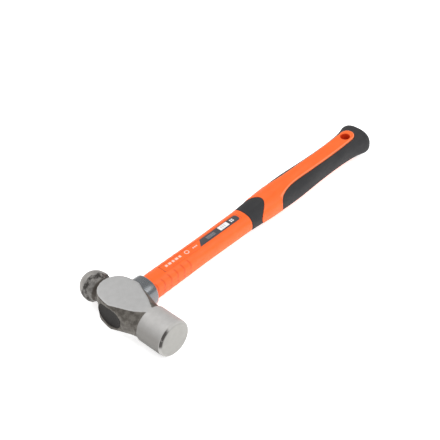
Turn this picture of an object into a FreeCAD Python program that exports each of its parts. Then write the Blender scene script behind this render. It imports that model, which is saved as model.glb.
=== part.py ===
import FreeCAD, Part
import math
import os

# Ball peen hammer, 24 oz class, lying on its side.
# A forged head holds an oval fibreglass rod in its eye with poured resin. A moulded
# orange jacket covers the rod, and soft black grips are moulded on the jacket.
#
# Inside this file the handle's line and the strike line cross at (0, 0, 0):
# +X runs down the handle, -Y is the struck face, +Y is the ball, +Z is the upper cheek.
# All shapes are moved at the end, so that the origin is the middle of the base.

V = FreeCAD.Vector

# ---- head ----
FACE_Y = -63.1              # struck face
FACE_RADIUS = 14.9          # flat part of the face
FACE_BEVEL = 2.8            # length of the rounded bevel behind the face
POLL_RADIUS = 17.65         # behind the bevel
POLL_END_Y = -33.0          # where the turned poll stops
POLL_END_RADIUS = 17.6
NECK = [                    # y, radius that the forged neck and eye are kept inside
    (-33.0, 16.5),
    (-28.0, 16.7),
    (-23.0, 17.4),
    (-16.5, 19.1),
    (-11.3, 20.5),
    (-4.3, 22.6),
    (2.6, 25.0),
    (40.0, 39.0),
]
CHEEK_Z = 14.8              # half thickness between the ground cheeks
CHEEK_RUNOUT_Y = -20.5      # the flat cheek turns up into the poll from here
CHEEK_RUNOUT_RADIUS = 45.0
EYE_NOSE_Y = 8.9            # centre of the round ball side of the eye
EYE_NOSE_RADIUS = 18.1
EYE_HALF_WIDTH = 19.3       # widest, across the eye
BALL_Y = 37.8               # widest circle of the ball
BALL_RADIUS = 14.8
BALL_LENGTH = 15.4          # from the widest circle to the tip
BALL_POWER = 2.06           # 2 is an ellipse, more is fuller
BALL_LAND = 1.6             # straight land behind the widest circle
BALL_NECK_RADIUS = 10.5
BALL_NECK_Y = 28.4

# ---- eye and rod ----
EYE_MOUTH = (14.0, 11.2)    # half length along Y, half width along Z at both mouths
EYE_WAIST = (11.8, 9.0)
EYE_MOUTH_Y = 1.2            # the eye's mouths sit this much towards the ball
EYE_MOUTH_X = 18.0
ROD_HALF = (9.6, 7.2)       # half sizes of the rod along Y and Z
ROD_START_X = -15.5
ROD_END_X = 295.0
RESIN_SINK = 0.9            # the resin stops this far inside the eye's mouth
RESIN_END_X = 17.0
OVAL_POWER = 2.2            # 2 is an ellipse, more is squarer

# ---- collar ----
COLLAR_END_X = 28.4
COLLAR_HALF = (14.6, 14.6)
COLLAR_EDGE = 1.3

# ---- handle: x, half width along Y, half depth along Z ----
HANDLE = [
    (28.4, 11.3, 11.8),
    (64.0, 11.4, 11.2),
    (98.0, 11.6, 10.5),
    (133.0, 12.2, 10.35),
    (152.0, 12.5, 10.35),
    (169.0, 13.6, 10.9),
    (186.0, 14.7, 11.5),
    (220.0, 15.4, 12.0),
    (257.0, 13.8, 11.5),
    (285.0, 13.3, 11.6),
    (304.0, 13.8, 12.3),
    (314.5, 15.0, 13.0),
    (324.0, 17.8, 13.6),
]
HANDLE_POWER = 2.5
HANDLE_END_X = 332.4        # tip of the rounded end
END_POWER = 3.0             # roundness of the end
SECTION_STEP = 10.0         # spacing of the sections that the surface runs through

GRIP_DEPTH = 2.4            # thickness of the soft grips
JACKET_PROUD = 0.3          # the jacket stands this much above the grips
RAIL_PROUD = 0.65           # the strip down the rear grip stands higher still
RAIL_POWER = 4.0            # and has a flatter top
RAIL_X = (200.0, 240.0)     # the rise from one to the other
BAND_START_X = 154.3
BAND_SIDE_END_X = 164.6     # rear edge on the two narrow sides
BAND_LOBE_X = 181.0         # rear edge on the middle of the wide faces
BAND_LOBE_HALF = 14.9
GRIP_START_X = 195.0        # front edge of the rear grip on the narrow sides
GRIP_SIDE_HALF = 16.3
STRIP_START_X = 226.8       # from here the bare strip keeps its width
STRIP_HALF = 7.4
STRIP_END_X = 311.2         # centre of the strip's round end
HOLE_X = 308.6
HOLE_RADIUS = 4.75

# ---- recessed panels and label ----
PANEL_X = (47.0, 148.3)
PANEL_HALF = 4.4
PANEL_CORNER = 2.6
PANEL_DEPTH = 0.8
LABEL_X = (93.4, 147.0)
LABEL_HALF = 4.0
LABEL_CORNER = 2.6
LABEL_THICK = 0.25
LABEL_SLANT = 6.0           # the front end of the label leans by this much

FAR = 80.0                  # longer than any cut


def smooth(x, column):
    """The handle's half size at x, a smooth curve through the HANDLE stations."""
    rows = HANDLE
    last = len(rows) - 2
    i = 0
    while i < last and x > rows[i + 1][0]:
        i += 1
    slopes = []
    for j in (i, i + 1):
        a = rows[max(j - 1, 0)]
        b = rows[min(j + 1, len(rows) - 1)]
        slopes.append((b[column] - a[column]) / (b[0] - a[0]))
    width = rows[i + 1][0] - rows[i][0]
    t = min(max((x - rows[i][0]) / width, 0.0), 1.0)
    a, b = rows[i][column], rows[i + 1][column]
    return (
        (2 * t ** 3 - 3 * t ** 2 + 1) * a
        + (t ** 3 - 2 * t ** 2 + t) * width * slopes[0]
        + (3 * t ** 2 - 2 * t ** 3) * b
        + (t ** 3 - t ** 2) * width * slopes[1]
    )


def oval(x, half_y, half_z, power, points=28):
    """A closed smooth oval across the handle at x."""
    ring = []
    for k in range(points):
        angle = 2 * math.pi * (k + 0.5) / points
        c, s = math.cos(angle), math.sin(angle)
        y = half_y * math.copysign(abs(c) ** (2 / power), c)
        z = half_z * math.copysign(abs(s) ** (2 / power), s)
        ring.append(V(x, y, z))
    curve = Part.BSplineCurve()
    curve.interpolate(Points=ring, PeriodicFlag=True)
    return Part.Wire([curve.toShape()])


def handle_solid(offset, start_x, end_x):
    """The handle's outside grown by offset. Past the last station it rounds off."""
    x0, half_y, half_z = HANDLE[-1]
    body_end = min(end_x, x0)
    steps = max(3, round((body_end - start_x) / SECTION_STEP))
    wires = []
    for k in range(steps + 1):
        x = start_x + (body_end - start_x) * k / steps
        wires.append(oval(x, smooth(x, 1) + offset, smooth(x, 2) + offset, HANDLE_POWER))
    body = Part.makeLoft(wires, True, False)
    if end_x <= x0:
        return body
    reach = HANDLE_END_X + offset - x0
    cap = []
    for k in range(8):
        turn = math.pi / 2 * k / 7.6
        along = math.sin(turn) ** (2 / END_POWER)
        s = math.cos(turn) ** (2 / END_POWER)
        cap.append(
            oval(x0 + reach * along, (half_y + offset) * s, (half_z + offset) * s, HANDLE_POWER)
        )
    return body.fuse(Part.makeLoft(cap, True, False))


def rail_solid():
    """The jacket's outside where it shows behind the band, rising into the strip."""
    x0, x1 = BAND_START_X - 6, STRIP_END_X + 2 * STRIP_HALF
    steps = round((x1 - x0) / SECTION_STEP)
    wires = []
    for k in range(steps + 1):
        x = x0 + (x1 - x0) * k / steps
        t = min(max((x - RAIL_X[0]) / (RAIL_X[1] - RAIL_X[0]), 0.0), 1.0)
        t = t * t * (3 - 2 * t)
        half_y = smooth(x, 1) + JACKET_PROUD
        half_z = smooth(x, 2) + JACKET_PROUD + (RAIL_PROUD - JACKET_PROUD) * t
        wires.append(oval(x, half_y, half_z, HANDLE_POWER + (RAIL_POWER - HANDLE_POWER) * t))
    return Part.makeLoft(wires, True, False)


def plan_prism(edges):
    """A plan outline cut right through along Z."""
    face = Part.Face(Part.Wire(edges))
    face.translate(V(0, 0, -FAR / 2))
    return face.extrude(V(0, 0, FAR))


def spline(points):
    curve = Part.BSplineCurve()
    curve.interpolate(Points=points)
    return curve.toShape()


def band_region():
    """Plan of the front grip: square in front, a round lobe behind on each wide face."""
    drop = (BAND_LOBE_X - BAND_SIDE_END_X) / BAND_LOBE_HALF ** 2
    rear = []
    for k in range(-7, 8):
        y = BAND_LOBE_HALF * k / 7
        rear.append(V(BAND_LOBE_X - drop * y * y, y, 0))
    low, high = rear[0], rear[-1]
    out = [
        V(BAND_SIDE_END_X, FAR / 2, 0),
        V(BAND_START_X, FAR / 2, 0),
        V(BAND_START_X, -FAR / 2, 0),
        V(BAND_SIDE_END_X, -FAR / 2, 0),
    ]
    edges = [spline(rear)]
    for a, b in zip([high] + out, out + [low]):
        edges.append(Part.makeLine(a, b))
    return plan_prism(edges)


def window_region():
    """Plan of the bare orange that the rear grip leaves: a funnel, a strip, a round end."""
    wide = GRIP_SIDE_HALF
    reach = STRIP_START_X - GRIP_START_X
    side = []
    for k in range(9):
        angle = math.pi / 2 * k / 8
        x = STRIP_START_X - reach * math.cos(angle)
        y = wide - (wide - STRIP_HALF) * math.sin(angle)
        side.append(V(x, y, 0))
    other = [V(p.x, -p.y, 0) for p in reversed(side)]
    tip = V(STRIP_END_X + STRIP_HALF, 0, 0)
    top, bottom = V(STRIP_END_X, STRIP_HALF, 0), V(STRIP_END_X, -STRIP_HALF, 0)
    corner = V(GRIP_START_X, FAR / 2, 0)
    back = V(GRIP_START_X - 20, FAR / 2, 0)
    low_corner = V(corner.x, -corner.y, 0)
    low_back = V(back.x, -back.y, 0)
    edges = [
        spline(side),
        Part.makeLine(side[-1], top),
        Part.Arc(top, tip, bottom).toShape(),
        Part.makeLine(bottom, other[0]),
        spline(other),
        Part.makeLine(other[-1], low_corner),
        Part.makeLine(low_corner, low_back),
        Part.makeLine(low_back, back),
        Part.makeLine(back, corner),
        Part.makeLine(corner, side[0]),
    ]
    return plan_prism(edges)


def turned(points):
    """Turns a half profile of (radius, y) points and curves about the strike line."""
    edges = []
    for item in points:
        edges.append(item)
    face = Part.Face(Part.Wire(edges))
    return face.revolve(V(0, 0, 0), V(0, 1, 0), 360)


def line(a, b):
    return Part.makeLine(V(a[0], a[1], 0), V(b[0], b[1], 0))


def arc(a, m, b):
    return Part.Arc(V(a[0], a[1], 0), V(m[0], m[1], 0), V(b[0], b[1], 0)).toShape()


def poll():
    """The turned striking end, with a rounded bevel at the face."""
    rim_y = FACE_Y + FACE_BEVEL
    bulge = 0.4
    mid = (
        (FACE_RADIUS + POLL_RADIUS) / 2 + bulge,
        (FACE_Y + rim_y) / 2 - bulge,
    )
    return turned([
        line((0, FACE_Y), (FACE_RADIUS, FACE_Y)),
        arc((FACE_RADIUS, FACE_Y), mid, (POLL_RADIUS, rim_y)),
        line((POLL_RADIUS, rim_y), (POLL_END_RADIUS, POLL_END_Y)),
        line((POLL_END_RADIUS, POLL_END_Y), (0, POLL_END_Y)),
        line((0, POLL_END_Y), (0, FACE_Y)),
    ])


def ball():
    """The ball, its short land and the hollow neck that joins it to the eye."""
    land_y = BALL_Y - BALL_LAND
    tip = (0, BALL_Y + BALL_LENGTH)
    diagonal = 0.5 ** (1 / BALL_POWER)
    mid = (BALL_RADIUS * diagonal, BALL_Y + BALL_LENGTH * diagonal)
    neck = (BALL_NECK_RADIUS, BALL_NECK_Y)
    shoulder = (BALL_RADIUS - 1.6, land_y - 1.7)
    root = (BALL_NECK_RADIUS + 1.4, BALL_NECK_Y - 6)
    return turned([
        arc(tip, mid, (BALL_RADIUS, BALL_Y)),
        line((BALL_RADIUS, BALL_Y), (BALL_RADIUS, land_y)),
        arc((BALL_RADIUS, land_y), (BALL_RADIUS - 0.45, land_y - 1.15), shoulder),
        arc(shoulder, (BALL_NECK_RADIUS + 0.75, BALL_NECK_Y + 2.0), neck),
        line(neck, root),
        line(root, (0, root[1])),
        line((0, root[1]), tip),
    ])


def eye_plan(inset):
    """The eye's outline seen on the cheek: a round nose, narrowing into the neck."""
    radius = EYE_NOSE_RADIUS - inset
    nose = (0, EYE_NOSE_Y + radius)
    a = math.radians(12)
    side = (radius * math.cos(a), EYE_NOSE_Y + radius * math.sin(a))
    flank = [
        V(side[0], side[1], 0),
        V(EYE_HALF_WIDTH - inset, 2.0, 0),
        V(EYE_HALF_WIDTH - 0.9 - inset, -9.5, 0),
        V(NECK[2][1] + 0.2 - inset, NECK[2][0], 0),
        V(NECK[0][1] - inset, NECK[0][0] - 4, 0),
    ]
    mirrored = [V(-p.x, p.y, 0) for p in reversed(flank)]
    outline = [
        spline(flank),
        Part.makeLine(flank[-1], mirrored[0]),
        spline(mirrored),
        arc((-side[0], side[1]), nose, side),
    ]
    return plan_prism(outline)


def eye_block():
    """The eye block, kept inside a turned shape that rounds it off towards the poll."""
    start, end = NECK[0][0], NECK[-1][0]
    limit = turned([
        line((0, start), (NECK[0][1], start)),
        spline([V(radius, y, 0) for y, radius in NECK]),
        line((NECK[-1][1], end), (0, end)),
        line((0, end), (0, start)),
    ])
    return eye_plan(0.0).common(limit)


def cheek_cutter(side):
    """What grinding takes off one cheek: a flat that runs out in the poll."""
    radius = CHEEK_RUNOUT_RADIUS
    angle = math.radians(21)
    start = V(0, CHEEK_RUNOUT_Y, CHEEK_Z)
    mid = V(
        0,
        CHEEK_RUNOUT_Y - radius * math.sin(angle / 2),
        CHEEK_Z + radius * (1 - math.cos(angle / 2)),
    )
    end = V(
        0,
        CHEEK_RUNOUT_Y - radius * math.sin(angle),
        CHEEK_Z + radius * (1 - math.cos(angle)),
    )
    nose_y = BALL_NECK_Y
    edges = [
        Part.Arc(start, mid, end).toShape(),
        Part.makeLine(end, V(0, end.y, FAR / 2)),
        Part.makeLine(V(0, end.y, FAR / 2), V(0, nose_y, FAR / 2)),
        Part.makeLine(V(0, nose_y, FAR / 2), V(0, nose_y, CHEEK_Z)),
        Part.makeLine(V(0, nose_y, CHEEK_Z), start),
    ]
    face = Part.Face(Part.Wire(edges))
    face.translate(V(-FAR / 2, 0, 0))
    cutter = face.extrude(V(FAR, 0, 0))
    if side < 0:
        cutter = cutter.mirror(V(0, 0, 0), V(0, 0, 1))
    return cutter


def eye_bore():
    """The oval eye, narrower at the middle so that the resin locks the rod."""
    wires = []
    out = EYE_MOUTH_X + 8
    stations = (
        (-out, EYE_MOUTH),
        (-EYE_MOUTH_X, EYE_MOUTH),
        (0, EYE_WAIST),
        (EYE_MOUTH_X, EYE_MOUTH),
        (out, EYE_MOUTH),
    )
    for x, half in stations:
        wires.append(oval(x, half[0], half[1], OVAL_POWER))
    bore = Part.makeLoft(wires, True, False)
    bore.translate(V(0, EYE_MOUTH_Y, 0))
    return bore


def rod_solid(start_x, end_x):
    oval_wire = oval(start_x, ROD_HALF[0], ROD_HALF[1], OVAL_POWER)
    return Part.Face(oval_wire).extrude(V(end_x - start_x, 0, 0))


def hammer_head():
    body = poll().fuse(eye_block())
    for side in (1, -1):
        body = body.cut(cheek_cutter(side))
    body = body.fuse(ball())
    return body.cut(eye_bore()).removeSplitter()


def eye_resin():
    """Resin that fills the eye round the rod and covers the rod's end."""
    plug = eye_bore().common(eye_plan(RESIN_SINK))
    box = Part.makeBox(FAR, FAR, FAR, V(RESIN_END_X - FAR, -FAR / 2, -FAR / 2))
    return plug.common(box).cut(rod_solid(ROD_START_X, ROD_END_X))


def collar(head, resin):
    """The ring between head and jacket, cut to lie against the head."""
    half_y, half_z = COLLAR_HALF
    edge = COLLAR_EDGE
    ring = Part.makeLoft([
        oval(EYE_MOUTH_X / 2, half_y + 0.4, half_z, HANDLE_POWER),
        oval(COLLAR_END_X - edge, half_y, half_z, HANDLE_POWER),
        oval(COLLAR_END_X, half_y - edge, half_z - edge, HANDLE_POWER),
    ], True, True)
    ring = ring.cut(rod_solid(0, 2 * COLLAR_END_X)).cut(head).cut(resin)
    outside = [s for s in ring.Solids if s.CenterOfMass.x > EYE_MOUTH_X]
    outside.sort(key=lambda s: -s.Volume)
    return outside[0]


def panel_cutter(side):
    """The long shallow panel on a wide face, with round corners at its ends."""
    start, end = PANEL_X
    box = Part.makeBox(end - start, 2 * PANEL_HALF, FAR, V(start, -PANEL_HALF, 0))
    corners = [
        e for e in box.Edges
        if abs(e.Vertexes[0].X - e.Vertexes[-1].X) < 1e-6
        and abs(e.Vertexes[0].Y - e.Vertexes[-1].Y) < 1e-6
        and e.Vertexes[0].X > start + 1
    ]
    box = box.makeFillet(PANEL_CORNER, corners)
    cutter = box.cut(handle_solid(-PANEL_DEPTH, COLLAR_END_X, BAND_START_X))
    solids = [s for s in cutter.Solids if s.CenterOfMass.z > 0]
    solids.sort(key=lambda s: -s.Volume)
    cutter = solids[0]
    if side < 0:
        cutter = cutter.mirror(V(0, 0, 0), V(0, 0, 1))
    return cutter


def orange_jacket(band_plan, window):
    """The moulded jacket: full size where it shows, thinner under the grips."""
    front = handle_solid(0.0, COLLAR_END_X, BAND_START_X)
    under = under_solid(BAND_START_X - 6, HANDLE_END_X)
    shown = rail_solid().common(window_full(window)).cut(band_plan)
    jacket = front.fuse(under).fuse(shown)
    jacket = jacket.cut(rod_solid(0, ROD_END_X))
    hole = Part.makeCylinder(HOLE_RADIUS, FAR, V(HOLE_X, 0, -FAR / 2), V(0, 0, 1))
    jacket = jacket.cut(hole)
    for side in (1, -1):
        jacket = jacket.cut(panel_cutter(side))
    return jacket.removeSplitter()


def window_full(window):
    """The window's plan together with all that lies in front of it."""
    front = Part.makeBox(
        GRIP_START_X - BAND_START_X, FAR, FAR, V(BAND_START_X, -FAR / 2, -FAR / 2)
    )
    return front.fuse(window)


def under_solid(start_x, end_x):
    """The jacket's surface below the soft grips."""
    return handle_solid(-GRIP_DEPTH, start_x, end_x)


def front_grip(band_plan):
    tube = handle_solid(0.0, BAND_START_X - 12, GRIP_START_X + 6)
    tube = tube.cut(under_solid(BAND_START_X - 18, GRIP_START_X + 12))
    return tube.common(band_plan)


def rear_grip(window, under):
    grip = handle_solid(0.0, GRIP_START_X, HANDLE_END_X)
    return grip.cut(window_full(window)).cut(under)


def label():
    """The thin label in the rear of the upper panel, with a slanted front end."""
    x0, x1 = LABEL_X
    half = LABEL_HALF
    radius = LABEL_CORNER
    corner = radius * (1 - math.sqrt(0.5))
    a, b = V(x0, -half, 0), V(x0 + LABEL_SLANT, half, 0)
    top, right = V(x1 - radius, half, 0), V(x1, half - radius, 0)
    low_right, bottom = V(x1, radius - half, 0), V(x1 - radius, -half, 0)
    edges = [
        Part.makeLine(a, b),
        Part.makeLine(b, top),
        Part.Arc(top, V(x1 - corner, half - corner, 0), right).toShape(),
        Part.makeLine(right, low_right),
        Part.Arc(low_right, V(x1 - corner, corner - half, 0), bottom).toShape(),
        Part.makeLine(bottom, a),
    ]
    plan = Part.Face(Part.Wire(edges)).extrude(V(0, 0, FAR))
    outer = handle_solid(LABEL_THICK - PANEL_DEPTH, COLLAR_END_X, BAND_START_X)
    inner = handle_solid(-PANEL_DEPTH, COLLAR_END_X, BAND_START_X)
    return plan.common(outer).cut(inner)


def one_solid(name, shape):
    solids = sorted(shape.Solids, key=lambda s: -s.Volume)
    if not solids:
        raise RuntimeError(name + " is empty")
    if len(solids) > 1:
        print(name, "keeps the largest of", len(solids), "solids", [round(s.Volume, 2) for s in solids])
    return solids[0]


os.makedirs("parts", exist_ok=True)
head = one_solid("hammer_head", hammer_head())
resin = one_solid("eye_resin", eye_resin())
band_plan = band_region()
window = window_region()
under = under_solid(BAND_START_X - 6, HANDLE_END_X)
pieces = {
    "hammer_head": head,
    "eye_resin": resin,
    "fibreglass_rod": one_solid("fibreglass_rod", rod_solid(ROD_START_X, ROD_END_X)),
    "collar": one_solid("collar", collar(head, resin)),
    "orange_jacket": one_solid("orange_jacket", orange_jacket(band_plan, window)),
    "front_grip": one_solid("front_grip", front_grip(band_plan)),
    "rear_grip": one_solid("rear_grip", rear_grip(window, under)),
    "label": one_solid("label", label()),
}

low = V(1e9, 1e9, 1e9)
high = V(-1e9, -1e9, -1e9)
for shape in pieces.values():
    box = shape.optimalBoundingBox()
    low = V(min(low.x, box.XMin), min(low.y, box.YMin), min(low.z, box.ZMin))
    high = V(max(high.x, box.XMax), max(high.y, box.YMax), max(high.z, box.ZMax))
shift = V(-(low.x + high.x) / 2, -(low.y + high.y) / 2, -low.z)
print("shift", shift, "size", high.sub(low))
for name, shape in pieces.items():
    moved = shape.copy()
    moved.translate(shift)
    print(name, "volume cm3", round(moved.Volume / 1000, 2), "valid", moved.isValid())
    moved.exportStep("parts/" + name + ".step")
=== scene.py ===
import math

import bmesh
import bpy
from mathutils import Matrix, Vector, noise


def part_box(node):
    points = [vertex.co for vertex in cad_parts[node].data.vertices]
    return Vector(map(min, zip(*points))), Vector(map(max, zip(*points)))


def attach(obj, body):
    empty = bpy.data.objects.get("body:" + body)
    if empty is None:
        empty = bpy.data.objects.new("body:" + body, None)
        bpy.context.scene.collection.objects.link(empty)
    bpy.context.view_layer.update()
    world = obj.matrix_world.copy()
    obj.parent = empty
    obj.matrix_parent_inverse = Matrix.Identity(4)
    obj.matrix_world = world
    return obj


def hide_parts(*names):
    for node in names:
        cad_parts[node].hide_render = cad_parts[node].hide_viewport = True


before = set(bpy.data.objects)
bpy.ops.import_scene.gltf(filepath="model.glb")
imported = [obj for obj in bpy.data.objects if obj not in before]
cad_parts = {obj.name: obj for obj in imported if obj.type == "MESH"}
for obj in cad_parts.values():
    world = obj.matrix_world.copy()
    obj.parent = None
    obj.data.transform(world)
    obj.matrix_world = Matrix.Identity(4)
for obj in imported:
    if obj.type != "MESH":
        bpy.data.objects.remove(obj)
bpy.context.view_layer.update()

# Ball peen hammer lying on its side.
# Sizes below are in mm along the hammer's own lines, which cross in the middle of the eye:
# x runs down the handle, y along the strike line from face to ball, z up through the cheek.

MM = 0.001
RING = 96                   # corners in a drawn ring

# ---- head ----
FACE_Y = -63.08
FACE_RADIUS = 14.9
FACE_BEVEL = 2.8
BEVEL_ROUND = 0.7           # 0 is a straight chamfer, 1 a full quarter round
POLL_RADIUS = 17.65
POLL_END_Y = -33.0
POLL_END_RADIUS = 17.6
NECK = [                    # y, radius that the forged neck and eye are kept inside
    (-36.0, 16.5),
    (-28.0, 16.7),
    (-23.0, 17.4),
    (-16.5, 19.1),
    (-11.3, 20.5),
    (-4.3, 22.6),
    (2.6, 25.0),
    (40.0, 39.0),
]
CHEEK_Z = 14.8
CHEEK_EDGE = 0.7            # width of the chamfer round the cheek
RUNOUT_Y = -20.5
RUNOUT_RADIUS = 45.0
NOSE_Y = 8.9
NOSE_RADIUS = 18.1
EYE_HALF_WIDTH = 19.3
BALL_Y = 37.8
BALL_RADIUS = 14.8
BALL_LENGTH = 15.4
BALL_POWER = 2.06           # 2 is an ellipse, more is fuller
BALL_LAND = 1.6
BALL_NECK_RADIUS = 10.5
BALL_NECK_Y = 28.4
MOUTH = (14.0, 11.2)        # half sizes of the eye's mouth along y and z
WAIST = (11.8, 9.0)
MOUTH_X = 18.0
EYE_POWER = 2.2             # squareness of the oval eye
BORE_REACH = 26.0           # longer than the eye on both sides
MOUTH_Y = 1.2               # the whole bore sits this far towards the ball
RESIN_SINK = 0.9
SKIN_DROP = 0.1             # the lumpy forged skin lies this much lower than the outline

# ---- handle: x, half width along y, half depth along z ----
HANDLE = [
    (28.4, 11.3, 11.8),
    (64.0, 11.4, 11.2),
    (98.0, 11.6, 10.5),
    (133.0, 12.2, 10.35),
    (152.0, 12.5, 10.35),
    (169.0, 13.6, 10.9),
    (186.0, 14.7, 11.5),
    (220.0, 15.4, 12.0),
    (257.0, 13.8, 11.5),
    (285.0, 13.3, 11.6),
    (304.0, 13.8, 12.3),
    (314.5, 15.0, 13.0),
    (324.0, 17.8, 13.6),
]
HANDLE_START = HANDLE[0][0]
HANDLE_END = 332.4
HANDLE_POWER = 2.5          # 2 is an ellipse, more is squarer
END_POWER = 3.0
COLLAR_HALF = 14.6
COLLAR_EDGE = 1.3
GRIP_DEPTH = 2.4
JACKET_PROUD = 0.3
RAIL_PROUD = 0.65
RAIL_POWER = 4.0
RAIL_X = (196.0, 230.0)
BAND_X = 154.3
BAND_SIDE_X = 164.6
BAND_LOBE_X = 181.0
BAND_LOBE_HALF = 14.9
GRIP_X = 195.0
GRIP_SIDE_HALF = 16.3
STRIP_X = 226.8
STRIP_HALF = 7.4
STRIP_END_X = 311.2
HOLE_X = 308.6
HOLE_RADIUS = 4.75
HOLE_EDGE = 0.6
PANEL_X = (47.0, 148.3)
PANEL_HALF = 4.4
PANEL_CORNER = 2.6
PANEL_DEPTH = 0.8
RIBS_X = [38.5 + 8.3 * i for i in range(5)]
RIB_Z = 5.2                 # middle of a rib, above and below the handle's middle
RIB_HALF = 5.6              # how far a rib runs up and down from there
RIB_BOW = 2.2
RIB_WIDTH = 1.7
RIB_LIFT = 0.18

# ---- forged skin ----
SKIN_LUMPS = [(0.22, 0.10), (0.6, 0.05)]    # bumps per mm, height
BALL_PITS = (0.45, 0.38)            # bumps per mm, height
POLISH_FROM_Y = (-46.0, -40.0)      # where the polish on the poll sets in
POLISH_TO_Y = (-27.0, -22.0)        # and where it fades out
POLISH_Z = (11.5, 14.0)             # only near the cheeks
RUNOUT_TURN = 21                    # degrees of the grinding wheel that meet the poll

# ---- making ----
FAR = 40.0                  # cutting tools reach this far from the middle, past every side
STATION_STEP = 3.0          # between the rings that the handle is drawn with
HEAD_GRAIN = 0.46           # size of the small even faces of a softened piece
JACKET_GRAIN = 0.58
BAND_GRAIN = 0.45
GRIP_GRAIN = 0.465

# ---- print: each block is x, y, half length, half width ----
# The bars and the ring are on the jacket, the rest is on the label.
PRINT_BARS = [(53.5 + 4.3 * i, 0.9, 1.6 if i % 2 else 1.2, 1.35) for i in range(5)]
PRINT_BARS += [(87.5 + 2.1 * i, 0.3, 0.7, 0.8) for i in range(3)]
PRINT_RING = (79.2, 0.5)    # its middle
PRINT_RING_RADIUS = 2.1
LABEL_LINES = [(110.5, -1.6 + 0.8 * i, 5.4, 0.22) for i in range(5)]
LABEL_WHITE = [(128.0, 0.4, 6.0, 2.8)]
LABEL_MARKS = [(125.2 + 2.2 * i, 0.4, 0.45, 1.7) for i in range(3)]
LABEL_SQUARES = [
    (138.0 + 2.3 * i, 1.4 - 2.1 * j, 0.85, 0.75) for i in range(2) for j in range(2)
]

# ---- camera ----
CAMERA_SPOT = (-474.2, -602.75, 740.95)
CAMERA_AIM = (140.5, 16.95, 0)
CAMERA_ROLL = -2.82         # degrees
CAMERA_LENS = 97.94

head_low, head_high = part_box("hammer_head")
rod_low, rod_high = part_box("fibreglass_rod")
EYE = Vector((
    (head_low.x + head_high.x) / 2,
    (rod_low.y + rod_high.y) / 2,
    (head_low.z + head_high.z) / 2,
))


def at(x, y, z):
    """A place on the hammer, in mm along its own lines, as a place in the row frame."""
    return EYE + Vector((x, y, z)) * MM


# ---------------------------------------------------------------- drawing by hand

def select_only(piece):
    bpy.ops.object.select_all(action="DESELECT")
    piece.select_set(True)
    bpy.context.view_layer.objects.active = piece


def place(along, distance, a, b):
    """The point of an outline drawn across an axis."""
    if along == "x":
        return at(distance, a, b)
    if along == "y":
        return at(a, distance, b)
    return at(a, b, distance)


def draw_out(name, along, sections):
    """A closed solid drawn out ring by ring. A section is its place on the axis and its outline."""
    count = len(sections[0][1])
    bpy.ops.object.select_all(action="DESELECT")
    bpy.ops.mesh.primitive_circle_add(vertices=count, radius=MM, fill_type="NGON")
    piece = bpy.context.object
    piece.name = name
    bpy.ops.object.mode_set(mode="EDIT")
    bpy.ops.mesh.select_all(action="SELECT")
    ring = list(range(count))
    for step, (distance, outline) in enumerate(sections):
        if step:
            bpy.ops.mesh.extrude_region_move()
        mesh = bmesh.from_edit_mesh(piece.data)
        mesh.verts.index_update()
        mesh.verts.ensure_lookup_table()
        if step:
            ring = [drawn_from(mesh.verts[i]) for i in ring]
        for i, (a, b) in zip(ring, outline):
            mesh.verts[i].co = place(along, distance, a, b)
        bmesh.update_edit_mesh(piece.data)
    bpy.ops.mesh.select_all(action="SELECT")
    bpy.ops.mesh.normals_make_consistent(inside=False)
    bpy.ops.object.mode_set(mode="OBJECT")
    return piece


def drawn_from(corner):
    """The index of the extruded corner that grew out of this one."""
    for edge in corner.link_edges:
        other = edge.other_vert(corner)
        if other.select and not corner.select:
            return other.index
    raise RuntimeError("a ring lost its place")


def power_of(value, power):
    return math.copysign(abs(value) ** power, value)


def oval(half_a, half_b, squareness=2.0, shift=0.0):
    """A closed oval outline. Squareness 2 is an ellipse, more is squarer."""
    ring = []
    for i in range(RING):
        turn = 2 * math.pi * (i + 0.5) / RING
        a = half_a * power_of(math.cos(turn), 2 / squareness) + shift
        b = half_b * power_of(math.sin(turn), 2 / squareness)
        ring.append((a, b))
    return ring


def turned(name, profile):
    """A turned solid on the strike line, from (y, radius) pairs."""
    return draw_out(name, "y", [(y, oval(radius, radius)) for y, radius in profile])


def cut(piece, tool, how="DIFFERENCE", keep_tool=False):
    """Cuts, joins or intersects one solid with another."""
    change = piece.modifiers.new("cut", "BOOLEAN")
    change.operation = how
    change.solver = "MANIFOLD"
    change.object = tool
    select_only(piece)
    bpy.ops.object.modifier_apply(modifier=change.name)
    if not keep_tool:
        bpy.data.objects.remove(tool)
    return piece


def soften(piece, grain, passes):
    """Even small faces all over, with every edge a little round, as moulded or forged."""
    even = piece.modifiers.new("even", "REMESH")
    even.mode = "VOXEL"
    even.voxel_size = grain * MM
    even.use_smooth_shade = True
    soft = piece.modifiers.new("soft", "SMOOTH")
    soft.factor = 0.5
    soft.iterations = passes
    select_only(piece)
    for name in ("even", "soft"):
        bpy.ops.object.modifier_apply(modifier=name)
    bpy.ops.object.shade_smooth()
    return piece


def smooth_step(value, low, high):
    t = min(max((value - low) / (high - low), 0.0), 1.0)
    return t * t * (3 - 2 * t)


def curve_through(points, steps=8):
    """Points along a smooth curve through the given ones."""
    out = []
    for i in range(len(points) - 1):
        a, b = points[i], points[i + 1]
        before, after = points[max(i - 1, 0)], points[min(i + 2, len(points) - 1)]
        for k in range(steps):
            t = k / steps
            out.append(tuple(
                0.5 * (2 * a[j] + (b[j] - before[j]) * t
                       + (2 * before[j] - 5 * a[j] + 4 * b[j] - after[j]) * t ** 2
                       + (3 * a[j] - before[j] - 3 * b[j] + after[j]) * t ** 3)
                for j in (0, 1)
            ))
    return out + [tuple(points[-1])]


def finish_piece(piece, node):
    """The piece rides with the hammer and stands for its CAD node."""
    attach(piece, "root")
    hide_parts(node)
    return piece


# ---------------------------------------------------------------- head

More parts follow.
